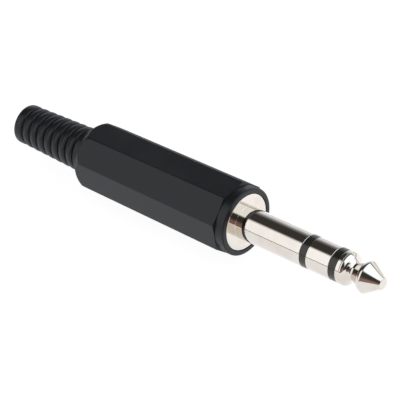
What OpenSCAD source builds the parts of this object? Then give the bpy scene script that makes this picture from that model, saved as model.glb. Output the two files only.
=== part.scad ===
// Straight 6.35 mm three-pole audio jack plug with a screw-on moulded cover.
// The origin is on the plug's axis, in the front face of the flange.
// +X runs along the finger to the tip, +Z is up, and a flat of the grip faces down.

/* [Contact finger] */
// Diameter of the sleeve and the ring
finger_d = 6.35; // [6.25:0.01:6.45]
// Length of the sleeve, from the flange to the first black band
sleeve_len = 15; // [13:0.1:17]
// Length of the black band between sleeve and ring
sleeve_band_len = 1.45; // [1.2:0.05:2.2]
// Length of the ring
ring_len = 5.15; // [4:0.05:7]
// Length of the black band between ring and tip
ring_band_len = 1.55; // [1.2:0.05:2.2]
// How far the black bands lie below the metal beside them
band_relief = 0.05; // [0:0.01:0.25]
// Small chamfer on the ends of the sleeve and the ring
edge_chamfer = 0.15; // [0.05:0.01:0.3]
// Diameter of the low step where the sleeve leaves the flange
root_step_d = 6.8; // [6.5:0.05:7.4]
// Length of that step
root_step_len = 0.25; // [0.1:0.05:0.6]

/* [Tip] */
// Length of the tip, from its black band to its blunt end
tip_len = 8.6; // [7.8:0.1:9]
// Length of the straight collar at the base of the tip
tip_base_len = 0.85; // [0.6:0.05:1.1]
// Diameter of the neck that the socket's spring drops into
tip_neck_d = 3.5; // [3.4:0.05:4.4]
// How far the neck's narrowest place lies behind the blunt end
tip_neck_back = 6.1; // [5.9:0.05:6.4]
// Length of the hollow curve between the base's bulb and the neck
tip_throat_len = 0.4; // [0.2:0.05:0.6]
// Height of that hollow curve
tip_throat = 0.3; // [0.1:0.05:0.5]
// Diameter of the ridge where the cone starts
tip_ball_d = 6.1; // [5.6:0.05:6.2]
// Width of the ridge's rounded top
tip_ridge_len = 0.25; // [0.1:0.05:0.4]
// Half angle of the cone, in degrees
tip_cone_angle = 33; // [28:1:36]
// Diameter of the cone where the blunt end starts
tip_end_d = 2.5; // [1.8:0.1:2.8]
// Rounding of the blunt end
tip_end_round = 0.4; // [0.2:0.05:0.6]

/* [Bushes, rod and tubes in the finger] */
// Diameter of the tip's rod
rod_d = 1.5; // [1.3:0.05:1.7]
// Wall of the insulating tubes
bush_wall = 0.4; // [0.3:0.05:0.5]
// Wall of the ring's metal tube
ring_tube_wall = 0.45; // [0.35:0.05:0.6]
// Gap between a rod or tube and the bore it is pressed into
press_gap = 0.02; // [0.01:0.01:0.05]

/* [Flange and boss] */
// Diameter of the flange
flange_d = 10.9; // [10.4:0.1:11.2]
// Thickness of the flange
flange_t = 1.3; // [1:0.1:1.8]
// Outside diameter of the thread on the boss
thread_d = 9.2; // [8.8:0.1:9.6]
// Length of the boss behind the flange
boss_len = 6.9; // [5:0.1:8]
// Width of the plain groove between flange and thread
relief_len = 0.7; // [0.4:0.1:1.2]
// Depth of that groove
relief_depth = 0.45; // [0.2:0.05:0.6]
// Chamfer at the rear end of the thread
boss_chamfer = 0.45; // [0.2:0.05:0.6]
// How far the riveted lips stand out over the terminals
rivet_lip = 0.2; // [0.1:0.05:0.3]
// Thickness of the riveted lips
rivet_t = 0.35; // [0.2:0.05:0.5]

/* [Terminals] */
// Thickness of the sleeve terminal's sheet
clamp_sheet = 0.6; // [0.4:0.05:0.7]
// Thickness of the ring and tip terminals' sheet
lug_sheet = 0.5; // [0.3:0.05:0.6]
// Inner radius of the bends in the sheet
bend_r = 0.4; // [0.2:0.05:0.6]
// Radius that the terminals stay inside
terminal_reach = 3.95; // [3.8:0.05:4.1]
// Width of the sleeve terminal's tongue
tongue_w = 3.6; // [3:0.1:3.6]
// Length of the tongue from its washer to the end of the clamp
tongue_len = 20; // [17:0.5:22]
// Length of the cable clamp at the end of the tongue
clamp_len = 5; // [4.5:0.1:6]
// Outside diameter of the clamp's trough
clamp_d = 7; // [6.8:0.1:7.2]
// Height of the clamp's wings above the axis
clamp_wing = 1.7; // [1.5:0.1:1.8]
// Width of the ring and tip lugs
lug_w = 2.5; // [2:0.1:2.8]
// Length of the ring and tip lugs
lug_len = 8; // [6:0.1:9]
// Diameter of the solder holes
solder_hole_d = 1.3; // [1:0.1:1.6]
// Gap between the insulating washers and the tongue that passes them
washer_gap = 0.1; // [0.05:0.05:0.2]
// Thickness of the front insulating washer
front_washer_t = 1.2; // [0.8:0.1:1.6]
// Thickness of the rear insulating washer
rear_washer_t = 1.6; // [1.2:0.1:2]
// Diameter of the ring and tip terminals' plates
plate_d = 5; // [4.4:0.1:5.4]
// Diameter of the rod's riveted head
rod_head_d = 2.7; // [2.2:0.1:3.2]
// Thickness of the rod's riveted head
rod_head_t = 0.6; // [0.4:0.1:0.9]

/* [Cover outside] */
// Diameter of the round collar at the mouth
collar_d = 13.05; // [12.8:0.05:13.3]
// Length of the collar
collar_len = 1.95; // [1.4:0.05:2.6]
// How far the cover's rim stands in front of the flange
rim_proud = 0.05; // [0:0.05:0.4]
// Rounding of the rim's outer edge
rim_round = 0.3; // [0.2:0.05:0.6]
// How far the grip's flats stand out over the collar
flat_proud = 0.09; // [0:0.01:0.15]
// Size of the grip over two flats, at the dome
grip_rear = 12.54; // [12.3:0.02:12.8]
// Rounding taken off the grip's long corners
corner_round = 0.04; // [0.02:0.01:0.08]
// Slope length of the corners' front ends
corner_end = 0.15; // [0.1:0.05:0.4]
// Length from the flange to the start of the dome
grip_len = 34.85; // [34:0.05:38]
// Radius of the dome's rounding behind the grip
dome_r = 3.4; // [3:0.1:3.8]
// Diameter of the strain relief where it leaves the dome
tail_front_d = 8.6; // [8.2:0.1:8.8]
// Diameter of the strain relief at its end
tail_rear_d = 7.45; // [7.2:0.05:7.8]
// Length of the smooth neck between the dome and the first rib
neck_len = 1.1; // [0.8:0.1:2.5]
// Number of ribs on the strain relief
rib_count = 8; // [5:1:9]
// Extra length of the last rib, at the cable's end
end_rib_extra = 0.5; // [0:0.1:1]
// Distance from one rib to the next
rib_pitch = 1.92; // [1.8:0.01:2.2]
// Width of the grooves between the ribs
groove_w = 0.45; // [0.3:0.05:0.7]
// Depth of the grooves
groove_depth = 0.36; // [0.3:0.02:0.46]
// Length of the rounding on each edge of a rib
rib_round = 0.7; // [0.2:0.05:0.7]
// Height of that rounding
rib_drop = 0.3; // [0.1:0.02:0.3]

/* [Cover inside] */
// Gap round the flange in the cover's mouth
mouth_gap = 0.1; // [0.1:0.01:0.25]
// Running clearance of the cover on the thread
thread_gap = 0.08; // [0.05:0.01:0.1]
// Diameter of the hollow for the terminals
cavity_d = 8.4; // [8.4:0.1:8.8]
// Length of the cone that leads from the hollow to the cable bore
funnel_len = 2.4; // [2:0.1:3]
// Thickness of the dome's wall between hollow and strain relief
dome_wall = 3.0; // [2.5:0.1:3.5]
// Diameter of the cable bore
cable_bore_d = 4.8; // [4.6:0.1:5.4]
// Plain length in the cover past the end of the boss
thread_runout = 0.5; // [0.2:0.1:1]

/* [Hidden] */
$fn = 96;

black_plastic = "#2b2c30";
nickel = "#d9d3c8";
bush_black = "#1f1e1d";
washer_brown = "#6b4a2e";
tinned = "#c2c0b8";

// A cut runs this far past the solid it goes through
overcut = 1;
// The distance to a flat is this share of the distance to a corner
sides = 8;
flat_share = cos(180 / sides);
arc_steps = 8;
// The ridge of the tip falls this far before the cone starts
ridge_drop = 0.1;
// The collar's root reaches this far into the grip, and lies this far under its flats
collar_root_len = 1.5;
collar_root_sink = 0.1;
// Rounding of the clamp wings' corners
wing_round = 0.6;

// Radii, from the rod outwards
finger_r = finger_d / 2;
rod_r = rod_d / 2;
ring_bush_in = rod_r + press_gap;
ring_bush_out = ring_bush_in + bush_wall;
ring_tube_in = ring_bush_out + press_gap;
ring_tube_out = ring_tube_in + ring_tube_wall;
sleeve_bush_in = ring_tube_out + press_gap;
sleeve_bush_out = sleeve_bush_in + bush_wall;
bore_r = sleeve_bush_out + press_gap;
thread_r = thread_d / 2;
band_r = finger_r - band_relief;

// Places along the axis, forward of the flange
sleeve_band_x = sleeve_len;
ring_x = sleeve_band_x + sleeve_band_len;
ring_band_x = ring_x + ring_len;
tip_x = ring_band_x + ring_band_len;
tip_end_x = tip_x + tip_len;

// Places along the axis, behind the flange
boss_end_x = -flange_t - boss_len;
sleeve_plate_end_x = boss_end_x - clamp_sheet;
spigot_end_x = sleeve_plate_end_x - rivet_t;
ring_plate_x = spigot_end_x - front_washer_t;
ring_plate_end_x = ring_plate_x - lug_sheet;
ring_tube_end_x = ring_plate_end_x - rivet_t;
tip_plate_x = ring_plate_end_x - rear_washer_t;
tip_plate_end_x = tip_plate_x - lug_sheet;
rod_end_x = tip_plate_end_x - rod_head_t;
clamp_end_x = boss_end_x - tongue_len;
clamp_r = clamp_d / 2;
washer_r = clamp_r - clamp_sheet - washer_gap;
// The riveted lip of the sleeve body is as wide as the washer behind it
spigot_r = washer_r - rivet_lip;

// The cover's outside
collar_r = collar_d / 2;
collar_rear_x = rim_proud - collar_len;
grip_front_r = (collar_r + flat_proud) / flat_share;
grip_rear_r = grip_rear / 2 / flat_share;
dome_start_x = -grip_len;
dome_mid_r = grip_rear_r - corner_round - dome_r;
dome_stop = asin((tail_front_d / 2 - dome_mid_r) / dome_r);
dome_end_x = dome_start_x - dome_r * cos(dome_stop);
tail_front_r = tail_front_d / 2;
tail_rear_r = tail_rear_d / 2;
ribs_x = dome_end_x - neck_len;
tail_end_x = ribs_x - rib_count * rib_pitch - end_rib_extra;

// The cover's inside
mouth_r = flange_d / 2 + mouth_gap;
cover_bore_r = thread_r + thread_gap;
cavity_r = cavity_d / 2;
cable_r = cable_bore_d / 2;
cavity_x = boss_end_x - thread_runout;
funnel_end_x = dome_end_x + dome_wall;
funnel_x = funnel_end_x + funnel_len;

// A smooth swelling between two points with level ends, as [along the axis, radius]
function swell(x0, r0, x1, r1, steps = arc_steps) =
    [for (i = [1:steps]) [x0 + (x1 - x0) * i / steps, r0 + (r1 - r0) * (1 - cos(180 * i / steps)) / 2]];

// Points on an arc of an ellipse, as [along the axis, radius]
function bow(cx, cr, ax, ar, from, to, steps = arc_steps) =
    [for (i = [0:steps]) let (a = from + (to - from) * i / steps) [cx + ax * cos(a), cr + ar * sin(a)]];

// Radius of the strain relief's ribs at a place along the axis
function tail_r(x) = tail_rear_r + (tail_front_r - tail_rear_r) * (x - tail_end_x) / (dome_end_x - tail_end_x);

// One rib of the strain relief, from its rear groove to its front edge
function rib(i) =
    let (x1 = ribs_x - (rib_count - 1 - i) * rib_pitch - groove_w, r = tail_r(x1))
    let (x0 = i == 0 ? tail_end_x : x1 - (rib_pitch - groove_w))
    concat(
        bow(x0 + rib_round, r - rib_drop, rib_round, rib_drop, 180, 90, 4),
        bow(x1 - rib_round, r - rib_drop, rib_round, rib_drop, 90, 0, 4),
        [[x1, r - groove_depth], [x1 + groove_w, r - groove_depth]]);

// Turns an outline of [along the axis, radius] points round the plug's axis
module turned(outline) {
    rotate([0, 90, 0]) rotate_extrude() polygon([for (p = outline) [p[1], p[0]]]);
}

// A solid round bar on the plug's axis, between two places
module bar(x0, x1, r) {
    translate([x0, 0, 0]) rotate([0, 90, 0]) cylinder(h = x1 - x0, r = r);
}

// The flat-sided grip as a tapered prism, with a flat facing down
module grip_prism() {
    slope = (grip_front_r - grip_rear_r) / (grip_len + collar_rear_x);
    dome_len = dome_start_x - dome_end_x;
    translate([dome_end_x, 0, 0]) rotate([0, 90, 0]) rotate([0, 0, 180 / sides])
        cylinder(h = collar_rear_x - dome_end_x, r1 = grip_rear_r - slope * dome_len, r2 = grip_front_r, $fn = sides);
}

// What rounds the grip's corners, its front ends and its dome
module grip_envelope() {
    turned(concat(
        [[dome_end_x, 0]],
        bow(dome_start_x, dome_mid_r, dome_r, dome_r, 180 - dome_stop, 90, 12),
        [[collar_rear_x - corner_end, grip_front_r - corner_round]],
        [[collar_rear_x, collar_r], [collar_rear_x, 0]]));
}

module collar() {
    root_x = collar_rear_x - collar_root_len;
    root_r = collar_r - collar_root_sink;
    turned(concat(
        [[root_x, 0], [root_x, root_r], [collar_rear_x, root_r], [collar_rear_x, collar_r]],
        bow(rim_proud - rim_round, collar_r - rim_round, rim_round, rim_round, 90, 0, 6),
        [[rim_proud, 0]]));
}

module strain_relief() {
    turned(concat(
        [[tail_end_x, 0]],
        [for (i = [0:rib_count - 1]) each rib(i)],
        [[ribs_x, tail_r(ribs_x)], [dome_end_x + overcut, tail_front_r], [dome_end_x + overcut, 0]]));
}

module cover_hollow() {
    turned([
        [tail_end_x - overcut, 0], [tail_end_x - overcut, cable_r], [funnel_end_x, cable_r],
        [funnel_x, cavity_r], [cavity_x, cavity_r], [cavity_x, cover_bore_r],
        [-flange_t, cover_bore_r], [-flange_t, mouth_r], [rim_proud + overcut, mouth_r],
        [rim_proud + overcut, 0]]);
}

module cover() {
    color(black_plastic) difference() {
        union() {
            intersection() {
                grip_prism();
                grip_envelope();
            }
            collar();
            strain_relief();
        }
        cover_hollow();
    }
}

module sleeve_body() {
    relief_r = thread_r - relief_depth;
    color(nickel) turned([
        [spigot_end_x, bore_r], [spigot_end_x, washer_r], [sleeve_plate_end_x, washer_r],
        [sleeve_plate_end_x, spigot_r], [boss_end_x, spigot_r], [boss_end_x, thread_r - boss_chamfer],
        [boss_end_x + boss_chamfer, thread_r], [-flange_t - relief_len, thread_r],
        [-flange_t - relief_len, relief_r], [-flange_t, relief_r], [-flange_t, flange_d / 2 - edge_chamfer],
        [-flange_t + edge_chamfer, flange_d / 2], [-edge_chamfer, flange_d / 2],
        [0, flange_d / 2 - edge_chamfer], [0, root_step_d / 2], [root_step_len, root_step_d / 2],
        [root_step_len, finger_r], [sleeve_len - edge_chamfer, finger_r],
        [sleeve_len, finger_r - edge_chamfer], [sleeve_len, bore_r]]);
}

module sleeve_insulator() {
    color(bush_black) turned([
        [spigot_end_x, sleeve_bush_in], [spigot_end_x, sleeve_bush_out], [sleeve_band_x, sleeve_bush_out],
        [sleeve_band_x, band_r], [ring_x, band_r], [ring_x, sleeve_bush_in]]);
}

module ring_contact() {
    lip_r = ring_tube_out + rivet_lip;
    color(nickel) turned([
        [ring_tube_end_x, ring_tube_in], [ring_tube_end_x, lip_r], [ring_plate_end_x, lip_r],
        [ring_plate_end_x, ring_tube_out], [ring_x, ring_tube_out], [ring_x, finger_r - edge_chamfer],
        [ring_x + edge_chamfer, finger_r], [ring_band_x - edge_chamfer, finger_r],
        [ring_band_x, finger_r - edge_chamfer], [ring_band_x, ring_tube_in]]);
}

module ring_insulator() {
    color(bush_black) turned([
        [ring_tube_end_x, ring_bush_in], [ring_tube_end_x, ring_bush_out], [ring_band_x, ring_bush_out],
        [ring_band_x, band_r], [tip_x, band_r], [tip_x, ring_bush_in]]);
}

module tip_contact() {
    neck_r = tip_neck_d / 2;
    ball_r = tip_ball_d / 2;
    end_r = tip_end_d / 2;
    head_r = rod_head_d / 2;
    base_x = tip_x + tip_base_len;
    neck_x = tip_end_x - tip_neck_back;
    cone_r = ball_r - ridge_drop;
    cone_end_x = tip_end_x - tip_end_round;
    cone_x = cone_end_x - (cone_r - end_r) / tan(tip_cone_angle);
    ball_x = cone_x - tip_ridge_len;
    bulb_h = finger_r - neck_r;
    bulb_end = asin(tip_throat / bulb_h);
    bulb_len = (neck_x - tip_throat_len - base_x) / cos(bulb_end);
    color(nickel) turned(concat(
        [[rod_end_x, 0], [rod_end_x, head_r - edge_chamfer], [rod_end_x + edge_chamfer, head_r]],
        [[tip_plate_end_x, head_r], [tip_plate_end_x, rod_r], [tip_x, rod_r]],
        [[tip_x, finger_r - edge_chamfer], [tip_x + edge_chamfer, finger_r]],
        bow(base_x, neck_r, bulb_len, bulb_h, 90, bulb_end),
        bow(neck_x, neck_r + tip_throat, tip_throat_len, tip_throat, 195, 270, 4),
        swell(neck_x, neck_r, ball_x, ball_r),
        [[ball_x + tip_ridge_len / 2, ball_r - ridge_drop / 4], [cone_x, cone_r], [cone_end_x, end_r]],
        bow(cone_end_x, end_r - tip_end_round, tip_end_round, tip_end_round, 60, 0, 4),
        [[tip_end_x, 0]]));
}

// A sheet terminal: a plate across the axis, with its front face at x, bent back into a strip along
// the axis. The strip's outer face lies at a radius of out on the +Z side, and its end is at end_x.
module strip_terminal(x, plate_r, out, sheet, w, end_x) {
    r_out = bend_r + sheet;
    bend_x = x - r_out;
    bend_z = out - r_out;
    intersection() {
        bar(x - sheet, x, plate_r);
        translate([x - sheet - overcut, -plate_r, -plate_r - overcut])
            cube([sheet + 2 * overcut, 2 * plate_r, plate_r + overcut + bend_z]);
    }
    translate([x - sheet, -w / 2, 0]) cube([sheet, w, bend_z]);
    translate([bend_x, 0, bend_z]) rotate([90, 0, 0])
        rotate_extrude(angle = 90) translate([bend_r, -w / 2]) square([sheet, w]);
    translate([end_x, -w / 2, out - sheet]) cube([bend_x - end_x, w, sheet]);
}

// A round hole through a strip, from its outer face inwards
module strip_hole(x, out, sheet, d) {
    translate([x, 0, out - sheet - overcut]) cylinder(h = sheet + 2 * overcut, d = d);
}

// A solder lug: a strip terminal with a round end and a hole, on a rivet of radius hole_r
module solder_lug(x, hole_r) {
    out = sqrt(pow(terminal_reach, 2) - pow(lug_w / 2, 2));
    round_x = x - lug_len + lug_w / 2;
    difference() {
        union() {
            strip_terminal(x, plate_d / 2, out, lug_sheet, lug_w, round_x);
            translate([round_x, 0, out - lug_sheet]) cylinder(h = lug_sheet, d = lug_w);
        }
        bar(x - lug_sheet - overcut, x + overcut, hole_r);
        strip_hole(round_x, out, lug_sheet, solder_hole_d);
    }
}

// One upright wing of the cable clamp, with its upper corners rounded
module clamp_wing_plate() {
    flat = clamp_len - 2 * wing_round;
    translate([clamp_end_x, clamp_r, 0]) rotate([90, 0, 0]) linear_extrude(clamp_sheet) union() {
        square([clamp_len, clamp_wing - wing_round]);
        translate([wing_round, 0]) square([flat, clamp_wing]);
        for (x = [wing_round, clamp_len - wing_round])
            translate([x, clamp_wing - wing_round]) circle(wing_round);
    }
}

module sleeve_terminal() {
    clamp_x = clamp_end_x + clamp_len;
    color(tinned) {
        rotate([180, 0, 0]) difference() {
            strip_terminal(boss_end_x, terminal_reach, clamp_r, clamp_sheet, tongue_w, clamp_end_x);
            bar(sleeve_plate_end_x - overcut, boss_end_x + overcut, spigot_r + press_gap);
            strip_hole((boss_end_x + clamp_x) / 2, clamp_r, clamp_sheet, solder_hole_d);
        }
        difference() {
            bar(clamp_end_x, clamp_x, clamp_r);
            bar(clamp_end_x - overcut, clamp_x + overcut, clamp_r - clamp_sheet);
            translate([clamp_end_x - overcut, -clamp_r - overcut, 0])
                cube([clamp_len + 2 * overcut, 2 * (clamp_r + overcut), clamp_r + overcut]);
        }
        clamp_wing_plate();
        mirror([0, 1, 0]) clamp_wing_plate();
    }
}

module front_washer() {
    color(washer_brown) turned([
        [ring_plate_x, sleeve_bush_in], [ring_plate_x, washer_r], [spigot_end_x, washer_r],
        [spigot_end_x, sleeve_bush_in]]);
}

module ring_terminal() {
    color(tinned) rotate([-90, 0, 0]) solder_lug(ring_plate_x, ring_tube_out + press_gap);
}

module rear_washer() {
    lip_seat_r = ring_tube_out + rivet_lip + press_gap;
    color(washer_brown) turned([
        [tip_plate_x, ring_bush_in], [tip_plate_x, washer_r], [ring_plate_end_x, washer_r],
        [ring_plate_end_x, lip_seat_r], [ring_tube_end_x, lip_seat_r], [ring_tube_end_x, ring_bush_in]]);
}

module tip_terminal() {
    color(tinned) rotate([90, 0, 0]) solder_lug(tip_plate_x, rod_r + press_gap);
}

cover();
sleeve_body();
sleeve_insulator();
ring_contact();
ring_insulator();
tip_contact();
sleeve_terminal();
front_washer();
ring_terminal();
rear_washer();
tip_terminal();
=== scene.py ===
"""The looks of a straight 6.35 mm audio jack plug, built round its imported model, in metres."""
import math

import bmesh
import bpy
from mathutils import Matrix, Vector


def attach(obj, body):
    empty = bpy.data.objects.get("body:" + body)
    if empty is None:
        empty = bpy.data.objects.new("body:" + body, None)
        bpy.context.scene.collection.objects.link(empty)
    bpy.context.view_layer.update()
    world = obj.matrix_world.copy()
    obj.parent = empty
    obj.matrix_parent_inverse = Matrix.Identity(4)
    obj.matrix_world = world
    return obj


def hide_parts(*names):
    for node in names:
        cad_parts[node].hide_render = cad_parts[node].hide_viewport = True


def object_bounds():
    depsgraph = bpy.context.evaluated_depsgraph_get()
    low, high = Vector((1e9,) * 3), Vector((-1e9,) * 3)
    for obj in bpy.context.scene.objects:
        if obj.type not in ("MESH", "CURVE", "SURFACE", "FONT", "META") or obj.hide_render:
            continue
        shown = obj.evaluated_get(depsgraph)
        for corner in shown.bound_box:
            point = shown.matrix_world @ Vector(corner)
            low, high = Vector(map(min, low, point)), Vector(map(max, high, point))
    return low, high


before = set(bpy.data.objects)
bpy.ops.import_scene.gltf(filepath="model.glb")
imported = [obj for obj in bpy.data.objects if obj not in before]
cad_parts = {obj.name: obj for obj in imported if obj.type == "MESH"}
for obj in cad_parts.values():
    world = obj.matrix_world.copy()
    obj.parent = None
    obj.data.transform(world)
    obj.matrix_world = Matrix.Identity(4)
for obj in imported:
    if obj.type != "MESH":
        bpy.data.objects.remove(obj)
cad_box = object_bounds()

# The camera stands in front of the plug, to its right and above it, as the photograph's did. It is so
# far off that its lines hardly converge, and it is rolled until the plug's axis falls to the right.
camera_far = 0.6
focal_px = 3330
picture_px = 400
film_width = 36
flange_px = Vector((246.4, 222.2))
axis_fall = math.radians(24.3)
axis_lean = math.radians(35)
flat_turn = math.radians(48.6)

# Directions in the picture: x to the right, y down, z away from the camera
along = Vector((
    math.cos(axis_lean) * math.cos(axis_fall),
    math.cos(axis_lean) * math.sin(axis_fall),
    -math.sin(axis_lean)))
across = Vector((-math.sin(axis_fall), math.cos(axis_fall), 0))
up = -(math.cos(flat_turn) * across + math.sin(flat_turn) * along.cross(across))
left = up.cross(along)
offset = (flange_px - Vector((picture_px / 2, picture_px / 2))) / focal_px
flange_at = camera_far * Vector((offset.x, offset.y, 1))

camera = bpy.data.objects.new("camera", bpy.data.cameras.new("camera"))
bpy.context.scene.collection.objects.link(camera)
camera.data.sensor_width = film_width
camera.data.lens = focal_px * film_width / picture_px
camera.data.clip_start = 0.01
camera.data.clip_end = 20
camera.matrix_world = Matrix((
    (along.x, -along.y, -along.z, -flange_at.dot(along)),
    (left.x, -left.y, -left.z, -flange_at.dot(left)),
    (up.x, -up.y, -up.z, -flange_at.dot(up)),
    (0, 0, 0, 1)))
bpy.context.scene.camera = camera
bpy.context.scene.view_settings.view_transform = "Standard"

# The floor is a plain white sheet of paper that the plug lies on, and clear when seen from below. The
# camera sees it white with the plug's soft shadow on it. Metal mirrors it a little bluer, and brighter
# behind the plug than in front of it.
floor_size = 3
floor_gap = 0.00002
shadow_free = 0.9
sheet_level = 1.05
light_in_front, light_behind = 1.06, 1.25
fade_half = 0.004
seen_white = (1, 1, 1, 1)
mirrored_white = (0.98, 1, 1.05, 1)
matt_white = (0.95, 0.95, 0.95, 1)

# Sockets that share their name with another go by number, such as these of a mix node for colours
MIX_A, MIX_B, MIX_OUT = 6, 7, 2

floor_half = floor_size / 2
floor_z = cad_box[0].z - floor_gap
floor_mesh = bpy.data.meshes.new("floor")
floor_mesh.from_pydata(
    [(x * floor_half, y * floor_half, floor_z) for x, y in ((-1, -1), (1, -1), (1, 1), (-1, 1))],
    [], [(0, 1, 2, 3)])
floor = bpy.data.objects.new("floor", floor_mesh)
bpy.context.scene.collection.objects.link(floor)


def put(tree, kind, feeds=None, **settings):
    """Adds a node to a tree. feeds gives each input a value, or another node's output to link to it."""
    made = tree.nodes.new(kind)
    for name, value in settings.items():
        setattr(made, name, value)
    for key, value in (feeds or {}).items():
        if isinstance(value, bpy.types.NodeSocket):
            tree.links.new(value, made.inputs[key])
        else:
            made.inputs[key].default_value = value
    return made


def emptied(block):
    """The node tree of a new material or world, with nothing in it."""
    block.use_nodes = True
    block.node_tree.nodes.clear()
    return block.node_tree


def reckoned(tree, operation, first, second):
    """Two values added, multiplied or compared."""
    return put(tree, "ShaderNodeMath", {0: first, 1: second}, operation=operation).outputs[0]


def ramp(tree, value, start, end, low=0, high=1, curve="LINEAR"):
    """Goes from low to high as a value goes from start to end, and no further."""
    feeds = {"Value": value, "From Min": start, "From Max": end, "To Min": low, "To Max": high}
    return put(tree, "ShaderNodeMapRange", feeds, interpolation_type=curve).outputs[0]


def mixed(tree, share, under, over):
    """A colour laid over another by a share."""
    feeds = {0: share, MIX_A: under, MIX_B: over}
    return put(tree, "ShaderNodeMix", feeds, data_type="RGBA").outputs[MIX_OUT]


white_sheet = bpy.data.materials.new("white_sheet")
tree = emptied(white_sheet)
ray = put(tree, "ShaderNodeLightPath").outputs
to_camera = reckoned(tree, "MULTIPLY", ray["Is Camera Ray"], shadow_free)
unshaded = reckoned(tree, "MAXIMUM", to_camera, ray["Is Glossy Ray"])
where = put(tree, "ShaderNodeTexCoord").outputs["Object"]
place = put(tree, "ShaderNodeSeparateXYZ", {0: where}).outputs
behind = ramp(tree, place["Y"], -fade_half, fade_half, light_in_front, light_behind, "SMOOTHSTEP")
level = put(tree, "ShaderNodeMix", {"Factor": ray["Is Camera Ray"], "A": behind, "B": sheet_level})
tint = mixed(tree, ray["Is Camera Ray"], mirrored_white, seen_white)
matt = put(tree, "ShaderNodeBsdfDiffuse", {"Color": matt_white})
glow = put(tree, "ShaderNodeEmission", {"Color": tint, "Strength": level.outputs[0]})
surface = put(tree, "ShaderNodeMixShader", {0: unshaded, 1: matt.outputs[0], 2: glow.outputs[0]})
under = put(tree, "ShaderNodeNewGeometry").outputs["Backfacing"]
clear = put(tree, "ShaderNodeBsdfTransparent")
one_sided = put(tree, "ShaderNodeMixShader", {0: under, 1: surface.outputs[0], 2: clear.outputs[0]})
put(tree, "ShaderNodeOutputMaterial", {"Surface": one_sided.outputs[0]})
floor_mesh.materials.append(white_sheet)

# The light is a studio round the plug: white paper behind it, a soft panel on the camera's left and a
# brighter one overhead. The ceiling between them, the foot of the walls and the room behind the camera
# are dark.
soft_white = (0.95, 0.95, 0.95, 1)
paper_white = (1, 1, 1, 1)
paper_lit = (1.25, 1.33, 1.48, 1)
ceiling_grey = (0.044, 0.042, 0.039, 1)
room_brown = (0.33, 0.19, 0.19, 1)
side_panel_light = (1.24, 1.27, 1.34, 1)
top_panel_light = (1.38, 1.52, 1.68, 1)

# The edges of these parts of the studio: where along its direction each starts to show, and where it is
# whole. Front and rear are along the plug, and left and right are as seen from its cable end.
room_top, room_left, room_rear = (0.55, 0.15), (-0.3, -0.6), (-0.1, 0.1)
paper_top, paper_right = (0.72, -0.1), (0.2, 0.6)
side_panel_left, side_panel_front, side_panel_rear = (-0.13, -0.38), (-0.05, -0.15), (-0.9, -0.7)
top_panel_rear, top_panel_front = (0.0, 0.06), (0.94, 0.9)
top_panel_right, top_panel_left, top_panel_foot = (-0.35, -0.15), (0.79, 0.76), (0.1, 0.2)
plain_paper_right = (0.84, 0.87)
walls_foot_top = (0.052, 0.038)

studio = bpy.data.worlds.new("studio")
bpy.context.scene.world = studio
tree = emptied(studio)
ray = put(tree, "ShaderNodeLightPath").outputs
towards = put(tree, "ShaderNodeTexCoord").outputs["Generated"]
ahead, sideways, upwards = put(tree, "ShaderNodeSeparateXYZ", {0: towards}).outputs


def painted(over, colour, *edges):
    """A colour laid over another inside its edges, each of them a direction and its two places."""
    masks = [ramp(tree, direction, *places, curve="SMOOTHSTEP") for direction, places in edges]
    inside = masks[0]
    for mask in masks[1:]:
        inside = reckoned(tree, "MULTIPLY", inside, mask)
    return mixed(tree, inside, over, colour)


walls = painted(ceiling_grey, room_brown, (upwards, room_top), (sideways, room_left), (ahead, room_rear))
walls = painted(walls, paper_lit, (upwards, paper_top), (sideways, paper_right))
walls = painted(walls, side_panel_light, (sideways, side_panel_left), (ahead, side_panel_front),
                (ahead, side_panel_rear))
walls = painted(walls, top_panel_light, (ahead, top_panel_rear), (ahead, top_panel_front),
                (sideways, top_panel_right), (sideways, top_panel_left), (upwards, top_panel_foot))
walls = painted(walls, paper_white, (sideways, plain_paper_right))
walls = painted(walls, ceiling_grey, (upwards, walls_foot_top))
lit = mixed(tree, ray["Is Glossy Ray"], soft_white, walls)
backed = mixed(tree, ray["Is Camera Ray"], lit, seen_white)
light = put(tree, "ShaderNodeBackground", {"Color": backed, "Strength": 1.0})
put(tree, "ShaderNodeOutputWorld", {"Surface": light.outputs[0]})

# The sleeve, its flange and the threaded boss behind it are one brass turning, plated with bright
# nickel and polished. Its rear end is spun out into a lip that rivets the clamp terminal on.
MM = 0.001
sleeve_r = 3.175
sleeve_end = 15
sleeve_bore_r = 2.08
edge_ease = 0.15
root_round, root_steps = 0.08, 8
flange_r, flange_t = 5.45, 1.3
relief_r, relief_end = 4.15, -2
thread_r, thread_depth, thread_pitch = 4.6, 0.42, 0.75
thread_foot = 0.03
thread_lead_r = 4.15
thread_set_in = 0.02
boss_end = -8.2
core_r = 4.1
core_set_in = 0.01
spigot_r, spigot_end = 2.6, -9.15
lip_r, lip_front, lip_ease = 2.8, -8.8, 0.1
turn_steps = 192
curve_shares = (0, 0.25, 0.5, 0.75, 1)
long_stretch, hold = 0.4, 0.03
same_place, same_plane = 1e-8, 1e-9
nickel_colour = (0.745, 0.69, 0.617, 1)
nickel_tarnish = (0.7, 0.64, 0.56, 1)
cloud_start, cloud_full = 0.42, 0.68


def eased(outline):
    """An outline whose points with a third number get a small curve there, of that size."""
    points = []
    for i, (x, r, *ease) in enumerate(outline):
        here = Vector((x, r))
        if not ease:
            points.append(here)
            continue
        before = Vector(outline[i - 1][:2])
        after = Vector(outline[(i + 1) % len(outline)][:2])
        start = here + (before - here).normalized() * ease[0]
        end = here + (after - here).normalized() * ease[0]
        points += [start.lerp(here, t).lerp(here.lerp(end, t), t) for t in curve_shares]
    return points


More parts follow.
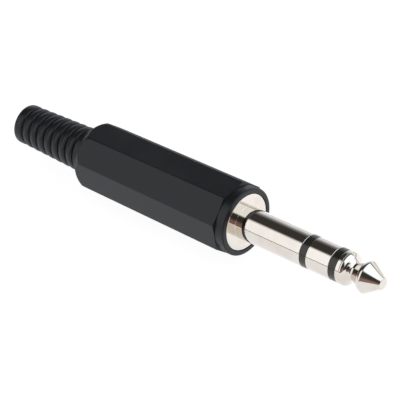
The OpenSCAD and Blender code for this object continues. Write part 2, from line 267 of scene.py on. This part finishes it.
def bow(x, r, size, start, end, steps):
    """Points of an arc round a centre in an outline, between two angles in degrees."""
    angles = (math.radians(start + (end - start) * i / steps) for i in range(steps + 1))
    return [(x + size * math.cos(a), r + size * math.sin(a)) for a in angles]


def held(points):
    """An outline with points close to the ends of each long straight stretch, to keep its shading flat."""
    kept = []
    for here, following in zip(points, points[1:] + points[:1]):
        kept.append(here)
        stretch = following - here
        if stretch.length > long_stretch and max(here.y, following.y) > 0:
            kept += [here + stretch.normalized() * hold, following - stretch.normalized() * hold]
    return kept


def at(x, r, angle):
    """The place in metres of a point so far along the axis, so far from it and so far round it."""
    return x * MM, r * MM * math.cos(angle), r * MM * math.sin(angle)


def turned(outline, sharp=20):
    """A mesh turned round the plug's axis from [along the axis, radius] points in millimetres. Where
    the outline bends by more than so many degrees, the edge stays sharp."""
    points = held(eased(outline))
    ring_count = len(points)
    solid = points[0].y == 0
    made = bmesh.new()
    rings = []
    for p in points:
        rings.append([made.verts.new(at(p.x, p.y, math.tau * k / turn_steps)) for k in range(turn_steps)])
    for i in range(ring_count - 1 if solid else ring_count):
        near, far = rings[i], rings[(i + 1) % ring_count]
        for k in range(turn_steps):
            made.faces.new((near[k], near[k - 1], far[k - 1], far[k])).smooth = True
    for i, ring in enumerate(rings):
        before, here, after = points[i - 1], points[i], points[(i + 1) % ring_count]
        if here.y > 0 and (here - before).angle(after - here, 0) > math.radians(sharp):
            for k in range(turn_steps):
                made.edges.get((ring[k - 1], ring[k])).smooth = False
    bmesh.ops.remove_doubles(made, verts=made.verts, dist=same_place)
    bmesh.ops.recalc_face_normals(made, faces=made.faces)
    return made


def helix(crest_r, root_r, start, end, face_r):
    """The skin of a V thread round the axis between two places, with an end face to a radius."""
    foot_r = root_r + thread_foot * (crest_r - root_r)
    # One turn of the thread's profile: the share of the pitch, and the radius there
    profile = ((0, root_r), (0.05, root_r), (0.1, foot_r), (0.4, crest_r),
               (0.5, crest_r), (0.6, crest_r), (0.9, foot_r), (0.95, root_r))
    # One turn more at each end, which the two cuts below take off
    turns = math.ceil((end - start) / thread_pitch) + 2
    made = bmesh.new()
    columns = []
    for k in range(turn_steps):
        column = []
        for t in range(turns):
            for share, r in profile:
                x = start + (t - 1 + share + k / turn_steps) * thread_pitch
                column.append(made.verts.new(at(x, r, math.tau * k / turn_steps)))
        columns.append(column)
    for k in range(turn_steps):
        this, following = columns[k], columns[(k + 1) % turn_steps]
        shift = len(profile) if k == turn_steps - 1 else 0
        for i in range(len(this) - 1 - shift):
            j = i + shift
            made.faces.new((this[i], this[i + 1], following[j + 1], following[j])).smooth = True
    for x, side in ((start, 1), (end, -1)):
        whole = made.verts[:] + made.edges[:] + made.faces[:]
        bmesh.ops.bisect_plane(made, geom=whole, plane_co=(x * MM, 0, 0), plane_no=(-side, 0, 0),
                               clear_outer=True, dist=same_plane)
        rim = [e for e in made.edges
               if e.is_boundary and all(abs(v.co.x - x * MM) < same_place for v in e.verts)]
        for v in bmesh.ops.extrude_edge_only(made, edges=rim)["geom"]:
            if isinstance(v, bmesh.types.BMVert):
                v.co.yz = v.co.yz.normalized() * face_r * MM
        for e in rim:
            e.smooth = False
    bmesh.ops.recalc_face_normals(made, faces=made.faces)
    return made


def placed(name, made, material, body, node=None):
    """Makes a piece of a mesh, gives it a material, hangs it on what it rides on, and hides the imported
    part it replaces.
    """
    mesh = bpy.data.meshes.new(name)
    made.to_mesh(mesh)
    made.free()
    mesh.materials.append(material)
    piece = bpy.data.objects.new(name, mesh)
    bpy.context.scene.collection.objects.link(piece)
    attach(piece, body)
    if node:
        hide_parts(node)


def effect(name, takes, gives):
    """A new shader node group with its sockets. takes gives each input's first value."""
    group = bpy.data.node_groups.new(name, "ShaderNodeTree")
    for socket, value in takes.items():
        kind = "NodeSocketColor" if isinstance(value, tuple) else "NodeSocketFloat"
        group.interface.new_socket(socket, in_out="INPUT", socket_type=kind).default_value = value
    for socket, kind in gives.items():
        group.interface.new_socket(socket, in_out="OUTPUT", socket_type=kind)
    return group, put(group, "NodeGroupInput").outputs


def used(tree, group, **values):
    """An effect placed in a material, with its own values. A name's _ stands for a space."""
    feeds = {name.replace("_", " "): value for name, value in values.items()}
    return put(tree, "ShaderNodeGroup", feeds, node_tree=group).outputs


# Turning marks: fine rings round the axis, which follow the place along it and the distance from it
turning_marks, given = effect(
    "turning_marks", {"Marks per metre": 9000.0}, {"Height": "NodeSocketFloat"})
where = put(turning_marks, "ShaderNodeTexCoord").outputs["Object"]
place = put(turning_marks, "ShaderNodeSeparateXYZ", {0: where}).outputs
off_axis = put(turning_marks, "ShaderNodeCombineXYZ", {"Y": place["Y"], "Z": place["Z"]})
radius = put(turning_marks, "ShaderNodeVectorMath", {0: off_axis.outputs[0]}, operation="LENGTH")
ring_place = put(turning_marks, "ShaderNodeCombineXYZ", {"X": place["X"], "Y": radius.outputs["Value"]})
marks = put(turning_marks, "ShaderNodeTexNoise", {
    "Vector": ring_place.outputs[0], "Scale": given["Marks per metre"], "Detail": 3.0, "Roughness": 0.6})
put(turning_marks, "NodeGroupOutput", {"Height": marks.outputs["Fac"]})

# Handling marks: soft clouds where a surface was touched, for its roughness and a slight change of tone
handling_marks, given = effect(
    "handling_marks",
    {"Clouds per metre": 300.0, "Clean": 0.07, "Touched": 0.12,
     "Bright": nickel_colour, "Dull": nickel_tarnish},
    {"Roughness": "NodeSocketFloat", "Colour": "NodeSocketColor"})
where = put(handling_marks, "ShaderNodeTexCoord").outputs["Object"]
clouds = put(handling_marks, "ShaderNodeTexNoise", {
    "Vector": where, "Scale": given["Clouds per metre"], "Detail": 4.0, "Distortion": 0.6})
touched = ramp(handling_marks, clouds.outputs["Fac"], cloud_start, cloud_full, curve="SMOOTHSTEP")
rough = ramp(handling_marks, touched, 0, 1, given["Clean"], given["Touched"])
tone = mixed(handling_marks, touched, given["Bright"], given["Dull"])
put(handling_marks, "NodeGroupOutput", {"Roughness": rough, "Colour": tone})

nickel = bpy.data.materials.new("bright_nickel")
tree = emptied(nickel)
touch = used(tree, handling_marks, Clouds_per_metre=260.0, Clean=0.055, Touched=0.1,
             Bright=nickel_colour, Dull=nickel_tarnish)
rings = used(tree, turning_marks, Marks_per_metre=9000.0)
fine = put(tree, "ShaderNodeBump", {"Strength": 0.05, "Distance": 0.00002, "Height": rings["Height"]})
shine = put(tree, "ShaderNodeBsdfPrincipled", {
    "Base Color": touch["Colour"], "Metallic": 1.0, "Roughness": touch["Roughness"],
    "Normal": fine.outputs[0]})
put(tree, "ShaderNodeOutputMaterial", {"Surface": shine.outputs[0]})

sleeve = turned(
    [(boss_end + core_set_in, sleeve_bore_r), (spigot_end, sleeve_bore_r),
     (spigot_end, lip_r, lip_ease), (lip_front, lip_r, lip_ease), (lip_front, spigot_r),
     (boss_end + core_set_in, spigot_r), (boss_end + core_set_in, core_r), (relief_end, core_r),
     (relief_end, relief_r), (-flange_t, relief_r), (-flange_t, flange_r, edge_ease),
     (0, flange_r, edge_ease)]
    + bow(root_round, sleeve_r + root_round, root_round, start=180, end=270, steps=root_steps)
    + [(sleeve_end, sleeve_r, edge_ease), (sleeve_end, sleeve_bore_r)], sharp=25)

# The thread is cut back to a cone at the boss's end, and then joins the turning
thread = helix(thread_r, thread_r - thread_depth, boss_end, relief_end, core_r - thread_set_in)
for v in thread.verts:
    v.co.yz *= min(1, (thread_lead_r * MM + v.co.x - boss_end * MM) / v.co.yz.length)
skin = bpy.data.meshes.new("thread")
thread.to_mesh(skin)
thread.free()
sleeve.from_mesh(skin)
bpy.data.meshes.remove(skin)
placed("sleeve", sleeve, nickel, "core", "sleeve_body")

# The sleeve's bush is a long tube of hard black plastic with a band at its front end, moulded in one.
# It is pressed into the sleeve, keeps the ring's tube off it, and shows as the band between the two.
bush_rear, bush_inner_r, bush_outer_r = -9.15, 1.66, 2.06
bush_ease = 0.05
band_r = 3.125
ring_x = 16.45
bush_black = (0.0145, 0.0135, 0.0085, 1)
bush_worn = (0.0175, 0.0165, 0.011, 1)

# Moulded grain: the fine texture that a plastic piece takes from its mould
moulded_grain, given = effect(
    "moulded_grain", {"Grains per metre": 14000.0, "Flow per metre": 900.0}, {"Height": "NodeSocketFloat"})
where = put(moulded_grain, "ShaderNodeTexCoord").outputs["Object"]
grain = put(moulded_grain, "ShaderNodeTexNoise", {
    "Vector": where, "Scale": given["Grains per metre"], "Detail": 2.0})
flow = put(moulded_grain, "ShaderNodeTexNoise", {
    "Vector": where, "Scale": given["Flow per metre"], "Detail": 1.0})
height = reckoned(moulded_grain, "ADD", grain.outputs["Fac"], flow.outputs["Fac"])
put(moulded_grain, "NodeGroupOutput", {"Height": height})

bush_plastic = bpy.data.materials.new("bush_plastic")
tree = emptied(bush_plastic)
touch = used(tree, handling_marks, Clouds_per_metre=400.0, Clean=0.2, Touched=0.28,
             Bright=bush_black, Dull=bush_worn)
grain = used(tree, moulded_grain, Grains_per_metre=20000.0, Flow_per_metre=1500.0)
fine = put(tree, "ShaderNodeBump", {"Strength": 0.1, "Distance": 0.00003, "Height": grain["Height"]})
shine = put(tree, "ShaderNodeBsdfPrincipled", {
    "Base Color": touch["Colour"], "Roughness": touch["Roughness"], "Normal": fine.outputs[0]})
put(tree, "ShaderNodeOutputMaterial", {"Surface": shine.outputs[0]})
placed("sleeve_bush", turned([
    (bush_rear, bush_inner_r), (bush_rear, bush_outer_r, bush_ease), (sleeve_end, bush_outer_r),
    (sleeve_end, band_r), (ring_x, band_r), (ring_x, bush_inner_r)]),
    bush_plastic, "core", "sleeve_insulator")

# The ring contact is a thin brass tube with the ring turned on its front end, in the same bright nickel.
# The tube runs back through the bush, and its rear end is spun out over the ring terminal.
ring_end = 21.6
tube_inner_r, tube_outer_r = 1.19, 1.64
tube_lip_r, tube_lip_front, tube_end = 1.84, -10.85, -11.2
placed("ring", turned([
    (tube_end, tube_inner_r), (tube_end, tube_lip_r, lip_ease), (tube_lip_front, tube_lip_r, lip_ease),
    (tube_lip_front, tube_outer_r), (ring_x, tube_outer_r), (ring_x, sleeve_r, edge_ease),
    (ring_end, sleeve_r, edge_ease), (ring_end, tube_inner_r)]),
    nickel, "core", "ring_contact")

# The ring's bush is like the sleeve's but thinner. It is pressed between the rod and the ring's tube,
# and its band keeps the ring and the tip apart.
tip_x = 23.15
thin_rear, thin_inner_r, thin_outer_r = -11.2, 0.77, 1.17
placed("ring_bush", turned([
    (thin_rear, thin_inner_r), (thin_rear, thin_outer_r, bush_ease), (ring_end, thin_outer_r),
    (ring_end, band_r), (tip_x, band_r), (tip_x, thin_inner_r)]),
    bush_plastic, "core", "ring_insulator")

# The tip and the rod behind it are one brass turning in bright nickel: a straight base, a bulb, the neck
# that the socket's spring drops into, and the cone. The rod's rear end is riveted over the tip terminal.
rod_r, rod_end = 0.75, -13.55
rod_head_r, rod_head_front = 1.35, -12.95
rod_head_ease, rod_head_front_ease = 0.2, 0.15
tip_end = 31.75
base_len, base_ease = 0.85, 0.12
base_end = tip_x + base_len
crease_depth, crease_half = 0.03, 0.06
neck_r, neck_back = 1.75, 6.1
neck_x = tip_end - neck_back
ball_r = 3.05
ridge_len, ridge_drop = 0.25, 0.1
cone_angle = math.radians(33)
nose_round, nose_r = 0.4, 1.25
nose_bend, nose_steps = 60, 6
cone_end = tip_end - nose_round
cone_r = ball_r - ridge_drop
cone_x = cone_end - (cone_r - nose_r) / math.tan(cone_angle)
ball_x = cone_x - ridge_len
bulb_full, bulb_steps, bulb_first = 1.35, 32, 2
flank_steps = 16

# The bulb falls from the base to the neck, and the flank rises from the neck to the ball
bulb = []
for i in range(bulb_first, bulb_steps + 1):
    swing = math.cos(math.pi * (i / bulb_steps) ** bulb_full)
    bulb.append((base_end + (neck_x - base_end) * i / bulb_steps,
                 neck_r + (sleeve_r - neck_r) * (1 + swing) / 2))
flank = []
for i in range(1, flank_steps + 1):
    swing = math.cos(math.pi * i / flank_steps)
    flank.append((neck_x + (ball_x - neck_x) * i / flank_steps,
                  neck_r + (ball_r - neck_r) * (1 - swing) / 2))
placed("tip", turned(
    [(rod_end, 0), (rod_end, rod_head_r, rod_head_ease),
     (rod_head_front, rod_head_r, rod_head_front_ease), (rod_head_front, rod_r), (tip_x, rod_r),
     (tip_x, sleeve_r, base_ease), (base_end - crease_half, sleeve_r),
     (base_end, sleeve_r - crease_depth)]
    + bulb + flank
    + [(ball_x + ridge_len / 2, ball_r - ridge_drop / 4), (cone_x, cone_r), (cone_end, nose_r)]
    + bow(cone_end, nose_r - nose_round, nose_round, start=nose_bend, end=0, steps=nose_steps)
    + [(tip_end, 0)], sharp=35),
    nickel, "core", "tip_contact")

# The two washers are punched from brown laminate, layers of paper in hard resin. They sit behind the
# boss and between the terminals, and are held by the riveted ends.
laminate_brown = (0.2, 0.095, 0.045, 1)
laminate_dark = (0.11, 0.05, 0.025, 1)
laminate_smooth, laminate_rough = 0.35, 0.6
layers_per_metre, fibres_per_metre = 16000.0, 1400.0
fibre_dark, fibre_light = 0.35, 0.65
washer_edge = 0.04

laminate = bpy.data.materials.new("brown_laminate")
tree = emptied(laminate)
where = put(tree, "ShaderNodeTexCoord").outputs["Object"]
flat_fibres = put(tree, "ShaderNodeVectorMath", {
    0: where, 1: (layers_per_metre / fibres_per_metre, 1, 1)}, operation="MULTIPLY")
fibres = put(tree, "ShaderNodeTexNoise", {
    "Vector": flat_fibres.outputs[0], "Scale": fibres_per_metre, "Detail": 5.0,
    "Roughness": 0.7}).outputs["Fac"]
mottle = ramp(tree, fibres, fibre_dark, fibre_light)
tone = mixed(tree, mottle, laminate_dark, laminate_brown)
rough = ramp(tree, fibres, 0, 1, laminate_smooth, laminate_rough)
fine = put(tree, "ShaderNodeBump", {"Strength": 0.3, "Distance": 0.00005, "Height": fibres})
shine = put(tree, "ShaderNodeBsdfPrincipled", {
    "Base Color": tone, "Roughness": rough, "Normal": fine.outputs[0]})
put(tree, "ShaderNodeOutputMaterial", {"Surface": shine.outputs[0]})


def dressed(name, material, edge=0):
    """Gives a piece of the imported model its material, and a small bevel of so many millimetres."""
    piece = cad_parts[name]
    piece.data.materials.clear()
    piece.data.materials.append(material)
    if edge:
        bevel = piece.modifiers.new("broken_edges", "BEVEL")
        bevel.width = edge * MM
        bevel.segments = 2
        bevel.limit_method = "ANGLE"
        bevel.angle_limit = math.radians(50)
        bevel.harden_normals = True


for name in ("front_washer", "rear_washer"):
    dressed(name, laminate, washer_edge)

# The terminals are stamped from thin sheet and tinned for soldering: a plate with a lug for the tip,
# one for the ring, and for the sleeve a long tongue that ends in the clamp for the cable.
tin_bright = (0.66, 0.65, 0.63, 1)
tin_grey = (0.5, 0.495, 0.48, 1)
rolled_per_metre = 7000.0
roll_stretch = (0.04, 1, 1)
terminal_edge = 0.05

tinned = bpy.data.materials.new("tinned_sheet")
tree = emptied(tinned)
touch = used(tree, handling_marks, Clouds_per_metre=500.0, Clean=0.24, Touched=0.42,
             Bright=tin_bright, Dull=tin_grey)
where = put(tree, "ShaderNodeTexCoord").outputs["Object"]
along_roll = put(tree, "ShaderNodeVectorMath", {0: where, 1: roll_stretch}, operation="MULTIPLY")
rolled = put(tree, "ShaderNodeTexNoise", {
    "Vector": along_roll.outputs[0], "Scale": rolled_per_metre, "Detail": 3.0}).outputs["Fac"]
fine = put(tree, "ShaderNodeBump", {"Strength": 0.12, "Distance": 0.00002, "Height": rolled})
shine = put(tree, "ShaderNodeBsdfPrincipled", {
    "Base Color": touch["Colour"], "Metallic": 1.0, "Roughness": touch["Roughness"],
    "Normal": fine.outputs[0]})
put(tree, "ShaderNodeOutputMaterial", {"Surface": shine.outputs[0]})
for name in ("sleeve_terminal", "ring_terminal", "tip_terminal"):
    dressed(name, tinned, terminal_edge)

# The cover is one moulding of black plastic: a round collar, an eight-sided grip that narrows to the
# rear, a dome, and a ribbed sleeve for the cable. It screws onto the boss, with its thread moulded in.
cover_bore_r, cover_thread_crest = 4.675, 4.26
cover_thread_front = -1.9
cover_black = (0.0085, 0.0092, 0.0108, 1)
cover_scuffed = (0.011, 0.0115, 0.013, 1)
cover_shine = 0.3

# A face turned away from the eye looks rougher: by how much, and how far turned it starts and is full
matter_by, matter_start, matter_full = 0.4, 0.55, 0.95

cover_plastic = bpy.data.materials.new("cover_plastic")
tree = emptied(cover_plastic)
touch = used(tree, handling_marks, Clouds_per_metre=120.0, Clean=0.3, Touched=0.36,
             Bright=cover_black, Dull=cover_scuffed)
grain = used(tree, moulded_grain, Grains_per_metre=14000.0, Flow_per_metre=700.0)
fine = put(tree, "ShaderNodeBump", {"Strength": 0.25, "Distance": 0.00004, "Height": grain["Height"]})
side_on = put(tree, "ShaderNodeLayerWeight", {"Blend": 0.5}).outputs["Facing"]
matter = ramp(tree, side_on, matter_start, matter_full, 0, matter_by)
rough = reckoned(tree, "ADD", touch["Roughness"], matter)
shine = put(tree, "ShaderNodeBsdfPrincipled", {
    "Base Color": touch["Colour"], "Roughness": rough, "Specular IOR Level": cover_shine,
    "Normal": fine.outputs[0]})
put(tree, "ShaderNodeOutputMaterial", {"Surface": shine.outputs[0]})
dressed("cover", cover_plastic)
placed("cover_thread", helix(cover_thread_crest, cover_bore_r, boss_end, cover_thread_front, cover_bore_r),
       cover_plastic, "cover")
